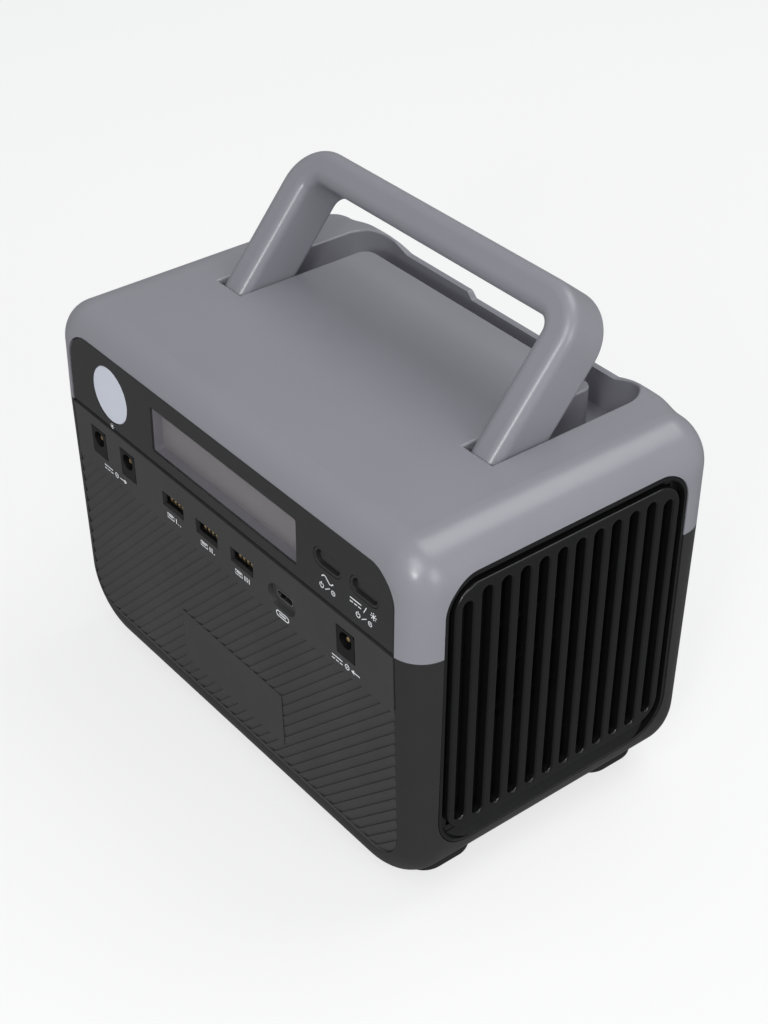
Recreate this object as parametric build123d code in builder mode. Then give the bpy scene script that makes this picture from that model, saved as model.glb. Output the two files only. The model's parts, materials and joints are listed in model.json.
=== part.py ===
"""Portable power station with a folding carry handle.

Millimetres, +Z up. The origin is on the floor, under the middle of the object's box.
-Y is the front, with the display and the ports. +X is the side with the fan grille.
The grey top cover and the dark lower case meet at the parting line, and most heights
are counted from it.
"""
from build123d import *
from math import cos, radians, sin, sqrt, tan
import os

os.makedirs("parts", exist_ok=True)

# ------------------------------------------------------------------ driving dimensions
case_width = 208.4
case_depth = 129.6
foot_height = 4.0
lower_height = 106.4            # case bottom to parting line
cover_height = 39.0             # parting line to deck
wall = 2.4
face_round = 12.0               # round from the front and rear faces to their neighbours
cover_side_round = 16.0         # round along the deck's left and right edges
case_side_round = 27.6          # round along the bottom's left and right edges
front_draft = 1.9               # degrees that the lower front leans in
rear_draft = 1.0
seam = 0.2                      # gap between neighbouring fixed pieces

half_width = case_width / 2
half_depth = case_depth / 2
bottom_z = foot_height
parting_z = bottom_z + lower_height
deck_z = parting_z + cover_height

# planes that the details are drawn on: X to the right or Y to the rear, height upwards
front_lean = radians(front_draft)
rear_lean = radians(rear_draft)
lower_front = Plane(
    origin=(0, -half_depth, parting_z), x_dir=(1, 0, 0), z_dir=(0, -cos(front_lean), -sin(front_lean))
)
lower_rear = Plane(
    origin=(0, half_depth, parting_z), x_dir=(-1, 0, 0), z_dir=(0, cos(rear_lean), -sin(rear_lean))
)
fascia_front = Plane(origin=(0, -half_depth + 0.2, parting_z), x_dir=(1, 0, 0), z_dir=(0, -1, 0))
right_side = Plane(origin=(half_width, 0, parting_z), x_dir=(0, 1, 0), z_dir=(1, 0, 0))
left_side = Plane(origin=(-half_width, 0, parting_z), x_dir=(0, -1, 0), z_dir=(-1, 0, 0))

# front fascia and its details
fascia_half_width = 93.8
fascia_height = 30.4
fascia_corner = 12.0
fascia_thickness = 2.4
window_size = (84.0, 18.1)
window_center = (1.7, 14.4)
window_thickness = 0.7
frame_depth = 0.9               # fascia's front to the frame round the display
lcd_depth = 4.6
light_center = (-67.1, 14.6)
light_radius = 11.1
button_size = (14.6, 7.5)
button_centers = {"ac_button": (60.2, 16.4), "dc_light_button": (78.9, 16.4)}
cap_recess = 1.3                # cap's face behind the bezel's

# lower front panel and its ports
panel_half_width = 93.4
panel_top = -0.6
panel_bottom = -93.6
panel_corner = 14.0
panel_thickness = 2.8
side_gap_end = -21.5            # the wide black gap beside the ports stops here
jack_size = (9.0, 11.3)
jack_hole_radius = 3.15
jack_hole_rise = 1.5            # hole centre above the middle of the flange
jack_height = -11.1
output_jack_x = (-77.6, -58.5)
input_jack_x = 69.1
usb_a_size = (13.2, 6.2)
usb_a_x = (-29.7, -8.9, 11.9)
usb_a_height = -12.5
usb_c_recess = (15.2, 9.2)
usb_c_recess_depth = 1.6
usb_c_shell = (8.94, 3.26)
usb_c_center = (34.5, -14.6)

# slanted relief on the lower front
relief_top = -23.6
relief_bottom = -92.0
relief_pitch = 4.9              # measured along X
relief_depth = 0.5
relief_phase = 91.0             # x - height of one step line
plain_half_width = 30.5         # plain field inside the relief
plain_top = -60.4
plain_bottom = -83.5

# side openings and the grille
opening_center = (-0.9, -28.95)
opening_size = (104.6, 114.1)
opening_top_round = 13.0
opening_bottom_round = 16.0
field_center = (-0.9, -27.1)
field_size = (96.8, 102.2)
field_round = 9.5
insert_depth = 7.2              # side face to the back of the insert
insert_floor = 1.5
moat_rim = 1.2
lip_drop = 0.3
slot_count = 12
slot_pitch = 7.84
slot_width = 4.2
slot_top = 20.5
slot_bottom = -75.4
slot_open_bottom = -42.0
slot_blind_depth = 4.2
slot_end_raise = 2.4            # the outermost slots are this much shorter at each end
crossbar_heights = (-1.9, -19.1, -36.1)

# folding handle
handle_lean = radians(50.8)     # raised handle above the horizontal
pivot_y = -3.0
pivot_z = parting_z + 28.45
handle_front = 11.5             # pivot axis to the crown of the front
handle_back = 8.7
handle_thickness = 12.6
handle_reach = 64.4             # pivot axis to the top of the bar
handle_leg_x = 68.7
handle_bend = 11.0
handle_front_round = 4.2
handle_back_round = 2.5
slot_inner = 61.5
slot_outer = 75.6
slot_front = -9.9
recess_rear = 62.2
recess_corner = 13.5
plateau_rear = 47.5
plateau_corner = 5.0
channel_floor_z = parting_z + 19.3
pocket_front = pivot_y - handle_front - 0.6
pocket_floor_z = pivot_z - handle_front - 0.9
pocket_rear = 12.0
recess_wall = 2.2
pin_radius = 2.5
pin_clearance = 0.05
rim_depth = 20.0
rim_blend = [(88.0, 12.0), (86.0, 11.6), (83.0, 10.1), (79.0, 7.9), (76.0, 7.2), (72.0, 7.0)]
rim_half_width = 65.0
rim_z = parting_z + 33.3
notch_half_width = 18.6
notch_z = parting_z + 30.8

# feet and case screws
foot_size = (26.0, 27.0)
foot_corner = 9.0
foot_points = [(x, y) for x in (-77.5, 77.5) for y in (-35.5, 43.5)]
screw_points = [(x, y) for x in (-79.0, 79.0) for y in (-40.5, 40.5)]
tower_radius = 5.2
screw_head_radius = 3.1
screw_shank_radius = 1.6
screw_head_z = 92.0
screw_length = 28.0

# fan
fan_size = 70.0
fan_thickness = 15.0
fan_front_x = 95.0
fan_y = -0.4
fan_z = parting_z - 14.3
fan_bore = 32.5
fan_hub_radius = 13.0

# battery
cell_radius = 9.15
cell_length = 65.0
cell_pitch = 19.4
cell_columns = 6
cell_rows = 3
battery_y = 4.0
battery_base_z = bottom_z + wall
holder_height = 8.0
pack_x = cell_columns * cell_pitch + 4
pack_y = cell_rows * cell_pitch + 4
rib_gap = 2.2                   # rib centre to rib centre, beyond the pack


# ------------------------------------------------------------------ shared forms
def chain_below_top(form, top_z):
    """Edges of the front and rear faces, without those that lie at top_z."""
    ends = form.faces().sort_by(Axis.Y)
    edges = ends[0].edges() + ends[-1].edges()
    return [edge for edge in edges if abs(edge.center().Z - top_z) > 0.01]


def cover_form(inset):
    """Solid inside the top cover's skin, shrunk by inset, from the parting line up."""
    low_z = parting_z - cover_height
    with BuildPart() as form:
        with BuildSketch(Plane.XZ.offset(-(half_depth - inset))):
            with Locations((0, deck_z - inset)):
                Rectangle(case_width - 2 * inset, 2 * cover_height - inset, align=(Align.CENTER, Align.MAX))
            fillet(vertices().group_by(Axis.Y)[-1], cover_side_round - inset)
        extrude(amount=case_depth - 2 * inset)
        fillet(chain_below_top(form, low_z), face_round - inset)
        split(bisect_by=Plane.XY.offset(parting_z), keep=Keep.TOP)
    return form.part


def case_form(inset):
    """Solid inside the lower case's skin, shrunk by inset, up to the parting line."""
    margin = 10.0
    with BuildPart() as form:
        with BuildSketch(Plane.XZ.offset(-(half_depth + margin))):
            with Locations((0, bottom_z + inset)):
                Rectangle(case_width - 2 * inset, lower_height - inset, align=(Align.CENTER, Align.MIN))
            fillet(vertices().group_by(Axis.Y)[0], case_side_round - inset)
        extrude(amount=case_depth + 2 * margin)
        split(bisect_by=lower_front.offset(-inset), keep=Keep.BOTTOM)
        split(bisect_by=lower_rear.offset(-inset), keep=Keep.BOTTOM)
        fillet(chain_below_top(form, parting_z), face_round - inset)
    return form.part


def opening_outline(inset):
    """Outline of a side opening, shrunk by inset, for a sketch on right_side or left_side."""
    with Locations(opening_center):
        Rectangle(opening_size[0] - 2 * inset, opening_size[1] - 2 * inset)
    fillet(vertices().group_by(Axis.Y)[-1], opening_top_round - inset)
    fillet(vertices().group_by(Axis.Y)[0], opening_bottom_round - inset)


def panel_outline(half_span, top, bottom, corner):
    """Outline with two round lower corners, for a sketch on lower_front."""
    with Locations((0, (top + bottom) / 2)):
        Rectangle(2 * half_span, top - bottom)
    fillet(vertices().group_by(Axis.Y)[0], corner)


def fascia_outline(half_span, bottom, top, corner):
    """Outline with two round upper corners, for a sketch on fascia_front."""
    with Locations((0, (top + bottom) / 2)):
        Rectangle(2 * half_span, top - bottom)
    fillet(vertices().group_by(Axis.Y)[-1], corner)


cover_outer = cover_form(0)
cover_inner = cover_form(wall)
case_outer = case_form(0)
case_inner = case_form(wall)
flange_limit = cover_form(wall + 0.1)
panel_limit = case_form(wall + 0.1)


# ------------------------------------------------------------------ top cover
with BuildPart() as recess_block:
    block_floor_z = pocket_floor_z - recess_wall
    block_front = pocket_front - recess_wall
    with BuildSketch(Plane.XY.offset(block_floor_z)):
        with Locations((0, (block_front + half_depth) / 2)):
            Rectangle(2 * (slot_outer + recess_wall), half_depth - block_front)
        with Locations((0, plateau_rear - recess_wall)):
            Rectangle(2 * (slot_inner - recess_wall), 120, align=(Align.CENTER, Align.MAX), mode=Mode.SUBTRACT)
    extrude(amount=deck_z - block_floor_z)
    add(cover_form(1.0), mode=Mode.INTERSECT)


def rim_outline(radius):
    """Rear end of the deck with its edge rounded, for a sketch across X."""
    with Locations((half_depth, deck_z)):
        Rectangle(rim_depth, rim_depth, align=(Align.MAX, Align.MAX))
    fillet(vertices().group_by(Axis.X)[-1].sort_by(Axis.Y)[-1], radius)


with BuildPart() as rear_rim:
    # tighter round along the middle, easing into the corners' round
    middle_x, middle_radius = rim_blend[-1]
    with BuildSketch(Plane.YZ.offset(-middle_x)):
        rim_outline(middle_radius)
    extrude(amount=2 * middle_x)
    for side in (-1, 1):
        for x, radius in rim_blend:
            with BuildSketch(Plane.YZ.offset(side * x)):
                rim_outline(radius)
        loft()
    add(cover_inner, mode=Mode.SUBTRACT)

with BuildPart() as top_cover:
    add(cover_outer)
    add(rear_rim.part)
    add(cover_inner, mode=Mode.SUBTRACT)
    add(recess_block.part)
    with BuildSketch(Plane.XY.offset(parting_z)):
        with Locations(*screw_points):
            Circle(tower_radius)
    extrude(amount=cover_height - 1)
    # U-shaped recess that the folded handle lies in
    with BuildSketch(Plane.XY.offset(channel_floor_z)):
        with Locations((0, (slot_front + recess_rear) / 2)):
            Rectangle(2 * slot_outer, recess_rear - slot_front)
        fillet(vertices().group_by(Axis.Y)[-1], recess_corner)
        with Locations((0, plateau_rear)):
            RectangleRounded(
                2 * slot_inner, 100, plateau_corner, align=(Align.CENTER, Align.MAX), mode=Mode.SUBTRACT
            )
    extrude(amount=cover_height, mode=Mode.SUBTRACT)
    # deeper pocket round each pivot, with a slanted front that stops the raised handle
    slant_drop = (slot_front - pocket_front) * tan(handle_lean)
    for low_x in (slot_inner, -slot_outer):
        with BuildSketch(Plane.YZ.offset(low_x)):
            Polygon(
                (slot_front, deck_z + 5),
                (slot_front, deck_z),
                (pocket_front, deck_z - slant_drop),
                (pocket_front, pocket_floor_z),
                (pocket_rear, pocket_floor_z),
                (pocket_rear, deck_z + 5),
                align=None,
            )
        extrude(amount=slot_outer - slot_inner, mode=Mode.SUBTRACT)
    # bores that hold the pivot pins
    with BuildSketch(Plane.YZ.offset(-slot_outer - recess_wall - 1)):
        with Locations((pivot_y, pivot_z)):
            Circle(pin_radius)
    extrude(amount=2 * (slot_outer + recess_wall + 1), mode=Mode.SUBTRACT)
    # soft edge round the recess
    recess_edges = [
        edge
        for edge in top_cover.edges().filter_by_position(Axis.Z, deck_z - 0.01, deck_z + 0.01)
        if abs(edge.center().X) < slot_outer + 0.1 and slot_front - 0.1 < edge.center().Y < plateau_rear + 0.5
    ]
    fillet(recess_edges, 0.8)
    # lowered rear rim with a finger notch in its middle
    with BuildSketch(Plane.XZ.offset(-half_depth - 1)):
        with BuildLine():
            rim_line = FilletPolyline(
                (-rim_half_width - 5, deck_z + 3),
                (-rim_half_width, rim_z + 3.2),
                (-rim_half_width + 9, rim_z),
                (-notch_half_width - 2.4, rim_z),
                (-notch_half_width, notch_z),
                (notch_half_width, notch_z),
                (notch_half_width + 2.4, rim_z),
                (rim_half_width - 9, rim_z),
                (rim_half_width, rim_z + 3.2),
                (rim_half_width + 5, deck_z + 3),
                radius=0.8,
            )
            Line(rim_line @ 1, rim_line @ 0)
        make_face()
    extrude(amount=half_depth + 1 - plateau_rear - 6, mode=Mode.SUBTRACT)
    # openings for the fascia and for the side inserts
    with BuildSketch(fascia_front):
        fascia_outline(fascia_half_width, -5, fascia_height, fascia_corner)
    extrude(amount=6, both=True, mode=Mode.SUBTRACT)
    for side in (right_side, left_side):
        with BuildSketch(side):
            opening_outline(0)
        extrude(amount=8, both=True, mode=Mode.SUBTRACT)
    # pilot holes for the case screws
    with BuildSketch(Plane.XY.offset(parting_z)):
        with Locations(*screw_points):
            Circle(screw_shank_radius)
    extrude(amount=screw_head_z + screw_length - parting_z + 1, mode=Mode.SUBTRACT)


# ------------------------------------------------------------------ lower case
with BuildPart() as screw_towers:
    with BuildSketch(Plane.XY.offset(bottom_z)):
        with Locations(*screw_points):
            Circle(tower_radius)
    extrude(amount=lower_height)
    add(case_form(1.0), mode=Mode.INTERSECT)

with BuildPart() as lower_case:
    add(case_outer)
    add(case_inner, mode=Mode.SUBTRACT)
    add(screw_towers.part)
    # ribs that hold the battery
    with BuildSketch(Plane.XY.offset(bottom_z + wall - 0.5)):
        with Locations((0, battery_y)):
            with GridLocations(90, pack_y + rib_gap, 2, 2):
                Rectangle(14, 1.6)
            with GridLocations(pack_x + rib_gap, 30, 2, 2):
                Rectangle(1.6, 14)
    extrude(amount=14)
    # access holes and screw seats
    with BuildSketch(Plane.XY):
        with Locations(*screw_points):
            Circle(screw_head_radius + 0.4)
    extrude(amount=screw_head_z, mode=Mode.SUBTRACT)
    with BuildSketch(Plane.XY.offset(screw_head_z - 1)):
        with Locations(*screw_points):
            Circle(screw_shank_radius + 0.3)
    extrude(amount=lower_height, mode=Mode.SUBTRACT)
    # window for the port panel, with a wider slit beside the ports
    with BuildSketch(lower_front):
        panel_outline(panel_half_width + seam, 5, panel_bottom - seam, panel_corner + seam)
        with Locations((0, side_gap_end)):
            Rectangle(2 * (fascia_half_width + 0.3), 30, align=(Align.CENTER, Align.MIN))
    extrude(amount=6, both=True, mode=Mode.SUBTRACT)
    for side in (right_side, left_side):
        with BuildSketch(side):
            opening_outline(0)
        extrude(amount=8, both=True, mode=Mode.SUBTRACT)


# ------------------------------------------------------------------ feet and screws
with BuildPart() as rubber_feet:
    with BuildSketch(Plane.XY):
        with Locations(*foot_points):
            RectangleRounded(*foot_size, foot_corner)
    extrude(amount=14)
    fillet(faces().sort_by(Axis.Z)[0:4].edges(), 1.5)
    with BuildSketch(Plane.XY):
        with Locations(*screw_points):
            Circle(screw_head_radius + 0.9)
    extrude(amount=14, mode=Mode.SUBTRACT)
    add(case_outer, mode=Mode.SUBTRACT)

with BuildPart() as case_screws:
    with BuildSketch(Plane.XY.offset(screw_head_z - 2.4)):
        with Locations(*screw_points):
            Circle(screw_head_radius)
    extrude(amount=2.4)
    with BuildSketch(Plane.XY.offset(screw_head_z)):
        with Locations(*screw_points):
            Circle(screw_shank_radius - 0.05)
    extrude(amount=screw_length)
    with BuildSketch(Plane.XY.offset(screw_head_z - 2.4)):
        with Locations(*screw_points):
            Rectangle(3.4, 0.8)
            Rectangle(0.8, 3.4)
    extrude(amount=1.4, mode=Mode.SUBTRACT)


# ------------------------------------------------------------------ front fascia and its pieces
def behind_fascia(depth):
    """Plane parallel to the fascia's front, depth behind it."""
    return fascia_front.offset(-depth)


with BuildPart() as fascia_flange:
    with BuildSketch(behind_fascia(fascia_thickness)):
        fascia_outline(fascia_half_width + 2, 1.6, fascia_height + 2, fascia_corner + 2)
    extrude(amount=-1.6)
    add(flange_limit, mode=Mode.INTERSECT)

with BuildPart() as front_fascia:
    with BuildSketch(fascia_front):
        fascia_outline(fascia_half_width - 0.3, 0.5, fascia_height - 0.3, fascia_corner - 0.3)
    extrude(amount=-fascia_thickness)
    chamfer(faces().sort_by(Axis.Y)[0].edges(), 0.5)
    add(fascia_flange.part)
    # seat for the lens behind its hole
    with BuildSketch(behind_fascia(fascia_thickness)):
        with Locations(light_center):
            Circle(light_radius + 1.5)
    extrude(amount=-1.7, mode=Mode.SUBTRACT)
    # tunnel between the window and the display
    with BuildSketch(behind_fascia(fascia_thickness)):
        with Locations(window_center):
            Rectangle(window_size[0] + 6, window_size[1] + 6)
    extrude(amount=-2.1)
    with BuildSketch(fascia_front):
        with Locations(window_center):
            RectangleRounded(*window_size, 0.8)
        with Locations(light_center):
            Circle(light_radius + 0.1)
        with Locations(*button_centers.values()):
            SlotOverall(button_size[0] + 0.1, button_size[1] + 0.1)
    extrude(amount=-6, mode=Mode.SUBTRACT)

    # rabbet for the frame round the display
    with BuildSketch(behind_fascia(frame_depth)):
        with Locations(window_center):
            Rectangle(window_size[0] + 2.4, window_size[1] + 2.4)
    extrude(amount=-lcd_depth, mode=Mode.SUBTRACT)

with BuildPart() as display_frame:
    with BuildSketch(behind_fascia(frame_depth)):
        with Locations(window_center):
            Rectangle(window_size[0] + 2.2, window_size[1] + 2.2)
            RectangleRounded(*window_size, 1.6, mode=Mode.SUBTRACT)
    extrude(amount=frame_depth - lcd_depth)

with BuildPart() as display_window:
    with BuildSketch(behind_fascia(0.1)):
        with Locations(window_center):
            RectangleRounded(window_size[0] - 0.2, window_size[1] - 0.2, 0.7)
    extrude(amount=-window_thickness)

with BuildPart() as lcd_module:
    with BuildSketch(behind_fascia(lcd_depth)):
        with Locations(window_center):
            Rectangle(window_size[0] + 5, window_size[1] + 5)
    extrude(amount=-3.4)

with BuildPart() as light_lens:
    with BuildSketch(behind_fascia(0.1)):
        with Locations(light_center):
            Circle(light_radius)
    extrude(amount=-fascia_thickness)
    with BuildSketch(behind_fascia(fascia_thickness + 1.7)):
        with Locations(light_center):
            Circle(light_radius + 1.4)
    extrude(amount=1.6)
    fillet(faces().sort_by(Axis.Y)[0].edges(), 0.5)

with BuildPart() as light_reflector:
    with BuildSketch(behind_fascia(fascia_thickness + 1.7)):
        with Locations(light_center):
            Circle(light_radius + 1.4)
            Circle(light_radius, mode=Mode.SUBTRACT)
    extrude(amount=-4.3)

with BuildPart() as light_board:
    with BuildSketch(behind_fascia(8.4)):
        with Locations(light_center):
            Circle(light_radius + 1.4)
    extrude(amount=-1.6)

with BuildPart() as light_leds:
    with BuildSketch(behind_fascia(8.4)):
        with Locations(light_center):
            with PolarLocations(6.5, 6):
                Rectangle(2.8, 3.5)
    extrude(amount=1.2)

with BuildPart() as button_bezels:
    with BuildSketch(fascia_front):
        with Locations(*button_centers.values()):
            SlotOverall(*button_size)
            SlotOverall(button_size[0] - 2.2, button_size[1] - 2.0, mode=Mode.SUBTRACT)
    extrude(amount=-3.6)
    chamfer(faces().sort_by(Axis.Y)[0:2].edges(), 0.3)

button_caps = {}
for name, center in button_centers.items():
    with BuildPart() as cap:
        with BuildSketch(behind_fascia(cap_recess)):
            with Locations(center):
                SlotOverall(button_size[0] - 2.7, button_size[1] - 2.5)
        extrude(amount=cap_recess - 4.8)
        fillet(faces().sort_by(Axis.Y)[0].edges(), 0.7)
        # collar that keeps the cap behind its bezel
        with BuildSketch(behind_fascia(3.9)):
            with Locations(center):
                SlotOverall(button_size[0] - 0.8, button_size[1] - 0.6)
        extrude(amount=-0.9)
    cap.part.label = name
    button_caps[name] = cap

with BuildPart() as button_switches:
    with BuildSketch(behind_fascia(6.8)):
        with Locations(*button_centers.values()):
            Rectangle(6, 6)
    extrude(amount=-2.8)
    with BuildSketch(behind_fascia(6.8)):
        with Locations(*button_centers.values()):
            Circle(1.7)
    extrude(amount=0.5)

with BuildPart() as display_board:
    with BuildSketch(behind_fascia(9.6)):
        with Locations((21.0, 14.4)):
            Rectangle(136, 24)
    extrude(amount=-1.6)

with BuildPart() as display_standoffs:
    with BuildSketch(behind_fascia(8.0)):
        with Locations(window_center):
            with GridLocations(78, 14, 2, 2):
                Rectangle(4, 4)
    extrude(amount=-1.6)


# ------------------------------------------------------------------ lower front panel and its ports
def behind_panel(depth):
    """Plane parallel to the lower front, depth behind it."""
    return lower_front.offset(-depth)


step_spacing = relief_pitch / sqrt(2)
first_step = relief_phase / sqrt(2) - 34 * step_spacing
step_count = 55
relief_length = 190.0
relief_start = -135.0


def panel_direction(across, up):
    """Direction in space of a direction drawn on the lower front."""
    return (lower_front.x_dir * across + lower_front.y_dir * up).normalized()


relief_origin = lower_front.from_local_coords(
    ((relief_start + first_step) / sqrt(2), (relief_start - first_step) / sqrt(2), 0)
)
relief_plane = Plane(origin=relief_origin, x_dir=panel_direction(1, -1), z_dir=panel_direction(1, 1))

with BuildPart() as relief_cutter:
    # saw-tooth section: each band starts flush and sinks towards the next step
    teeth = [(0, -1)]
    for step in range(step_count):
        teeth.append((step * step_spacing, 0))
        teeth.append(((step + 1) * step_spacing, relief_depth))
    teeth.append((step_count * step_spacing, -1))
    with BuildSketch(relief_plane):
        Polygon(*teeth, align=None)
    extrude(amount=relief_length)
    with BuildSketch(lower_front.offset(1)):
        panel_outline(panel_half_width + 1, relief_top, relief_bottom, panel_corner - 1.6)
        with Locations((0, (plain_top + plain_bottom) / 2)):
            Rectangle(2 * plain_half_width, plain_top - plain_bottom, mode=Mode.SUBTRACT)
    extrude(amount=-3, mode=Mode.INTERSECT)

with BuildPart() as panel_flange:
    with BuildSketch(behind_panel(panel_thickness)):
        panel_outline(panel_half_width + 2, panel_top - 1.6, panel_bottom - 2, panel_corner + 2)
        with Locations((0, -50)):
            RectangleRounded(2 * panel_half_width - 6, 80, 10, mode=Mode.SUBTRACT)
    extrude(amount=-1.5)
    add(panel_limit, mode=Mode.INTERSECT)

step_edges = [(first_step + step * step_spacing) * sqrt(2) for step in range(step_count)]
bottom_dashes = [edge + relief_bottom for edge in step_edges if abs(edge + relief_bottom) < 82]
plain_top_dashes = [edge + plain_top for edge in step_edges if abs(edge + plain_top + 1) < plain_half_width]
plain_side_dashes = [
    plain_half_width - edge for edge in step_edges if plain_bottom < plain_half_width - edge < plain_top + 1
]

with BuildPart() as port_panel:
    with BuildSketch(lower_front):
        panel_outline(panel_half_width, panel_top, panel_bottom, panel_corner)
    extrude(amount=-panel_thickness)
    add(panel_flange.part)
    add(relief_cutter.part, mode=Mode.SUBTRACT)
    # short dark slits where the bands end
    with BuildSketch(lower_front):
        for x in bottom_dashes:
            with Locations((x - 0.9, relief_bottom + 0.2)):
                Rectangle(1.8, 0.5)
        for x in plain_top_dashes:
            with Locations((x - 0.9, plain_top + 0.2)):
                Rectangle(1.8, 0.5)
        for height in plain_side_dashes:
            with Locations((plain_half_width + 0.2, height - 0.9)):
                Rectangle(0.5, 1.8)
    extrude(amount=-1.2, mode=Mode.SUBTRACT)
    # port openings
    with BuildSketch(lower_front):
        for x in (*output_jack_x, input_jack_x):
            with Locations((x, jack_height)):
                Rectangle(jack_size[0] + 0.7, jack_size[1] + 0.7)
        for x in usb_a_x:
            with Locations((x, usb_a_height)):
                Rectangle(*usb_a_size)
        with Locations(usb_c_center):
            SlotOverall(usb_c_shell[0] + 0.2, usb_c_shell[1] + 0.2)
    extrude(amount=-6, mode=Mode.SUBTRACT)
    with BuildSketch(lower_front):
        with Locations(usb_c_center):
            SlotOverall(*usb_c_recess)
    extrude(amount=-usb_c_recess_depth, taper=12, mode=Mode.SUBTRACT)


def jack_bodies(positions):
    """Barrel jack housings, flush with the lower front, each with its hole."""
    with BuildPart() as bodies:
        for x in positions:
            with BuildSketch(lower_front):
                with Locations((x, jack_height)):
                    Rectangle(*jack_size)
                fillet(vertices().group_by(Axis.Y)[-1].sort_by(Axis.X)[-1], 1.6)
            extrude(amount=-14)
            with BuildSketch(lower_front):
                with Locations((x, jack_height + jack_hole_rise)):
                    Circle(jack_hole_radius)
            extrude(amount=-10.5, mode=Mode.SUBTRACT)
    return bodies


dc_output_jacks = jack_bodies(output_jack_x)
dc_input_jack = jack_bodies((input_jack_x,))

with BuildPart() as jack_pins:
    with BuildSketch(behind_panel(10.5)):
        for x in (*output_jack_x, input_jack_x):
            with Locations((x, jack_height + jack_hole_rise)):
                Circle(1.05)
    extrude(amount=9.5)
    fillet(faces().sort_by(Axis.Y)[0:3].edges(), 0.6)

with BuildPart() as usb_a_shells:
    with BuildSketch(behind_panel(1.6)):
        for x in usb_a_x:
            with Locations((x, usb_a_height)):
                Rectangle(usb_a_size[0] - 0.1, usb_a_size[1] - 0.1)
                Rectangle(usb_a_size[0] - 0.7, usb_a_size[1] - 0.7, mode=Mode.SUBTRACT)
    extrude(amount=-11.8)
    with BuildSketch(behind_panel(13.4)):
        for x in usb_a_x:
            with Locations((x, usb_a_height)):
                Rectangle(usb_a_size[0] - 0.5, usb_a_size[1] - 0.5)
    extrude(amount=-0.6)

with BuildPart() as usb_a_tongues:
    with BuildSketch(behind_panel(13.4)):
        for x in usb_a_x:
            with Locations((x, usb_a_height - 1.35)):
                Rectangle(11.1, 1.8)
    extrude(amount=11.0)

with BuildPart() as usb_c_port:
    with BuildSketch(behind_panel(usb_c_recess_depth - 0.1)):
        with Locations(usb_c_center):
            SlotOverall(*usb_c_shell)
            SlotOverall(usb_c_shell[0] - 0.6, usb_c_shell[1] - 0.6, mode=Mode.SUBTRACT)
    extrude(amount=-8.4)
    with BuildSketch(behind_panel(9.9)):
        with Locations(usb_c_center):
            SlotOverall(usb_c_shell[0] - 0.4, usb_c_shell[1] - 0.4)
    extrude(amount=-0.6)

with BuildPart() as usb_c_tongue:
    with BuildSketch(behind_panel(9.9)):
        with Locations(usb_c_center):
            Rectangle(6.7, 0.7)
    extrude(amount=7.2)

with BuildPart() as port_board:
    with BuildSketch(behind_panel(14.2)):
        with Locations((-4, -12.5)):
            Rectangle(168, 19)
    extrude(amount=-1.6)


# ------------------------------------------------------------------ side inserts
with BuildPart() as insert_limit:
    add(cover_form(wall + 0.2))
    add(case_form(wall + 0.2))

with BuildPart() as skin_limit:
    add(cover_form(0.1))
    add(case_form(0.1))


def moat_ramp(side):
    """Wedge along the bottom of the moat, on the side plane given."""
    with BuildPart() as ramp:
        with BuildSketch(Plane(origin=side.origin, x_dir=side.z_dir, z_dir=side.x_dir)):
            Polygon(
                (-4.4, 78.6),
                (-lip_drop - 0.5, 84.4),
                (-lip_drop - 0.5, 90),
                (-insert_depth, 90),
                (-insert_depth, 78.6),
                align=None,
            )
        extrude(amount=70, both=True)
        with BuildSketch(side.offset(-insert_depth)):
            opening_outline(1)
        extrude(amount=insert_depth, mode=Mode.INTERSECT)
    return ramp.part


def insert_flange(side):
    """Frame that laps the inside of the skin round the opening on the side plane given."""
    with BuildPart() as flange:
        with BuildSketch(side.offset(-insert_depth + 2.4)):
            opening_outline(-3)
            with Locations(opening_center):
                Rectangle(opening_size[0] - 12, opening_size[1] - 12, mode=Mode.SUBTRACT)
        extrude(amount=1.5)
        add(insert_limit.part, mode=Mode.INTERSECT)
    return flange.part


def side_insert(side):
    """Insert behind a side opening: rim, deep moat and a raised field flush with the case."""
    ramp = moat_ramp(side)
    flange = insert_flange(side)
    with BuildPart() as insert:
        with BuildSketch(side.offset(-insert_depth)):
            opening_outline(0.3)
        extrude(amount=insert_depth - lip_drop)
        add(skin_limit.part, mode=Mode.INTERSECT)
        with BuildSketch(side.offset(-lip_drop)):
            opening_outline(0.3 + moat_rim)
        extrude(amount=-(insert_depth - lip_drop - insert_floor), taper=6, mode=Mode.SUBTRACT)
        add(ramp)
        with BuildSketch(side.offset(-insert_depth)):
            with Locations(field_center):
                RectangleRounded(*field_size, field_round)
        extrude(amount=insert_depth)
        add(flange)
    return insert.part


first_slot_y = opening_center[0] - (slot_count - 1) * slot_pitch / 2


def slot_at(index, top, bottom):
    """Upright round-ended slot number index, for a sketch on a side plane."""
    outermost = index in (0, slot_count - 1)
    high = top - (slot_end_raise if outermost and top == slot_top else 0)
    low = bottom + (slot_end_raise - 0.6 if outermost and bottom == slot_bottom else 0)
    with Locations((first_slot_y + index * slot_pitch, (high + low) / 2)):
        SlotOverall(high - low, slot_width, rotation=90)


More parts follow.
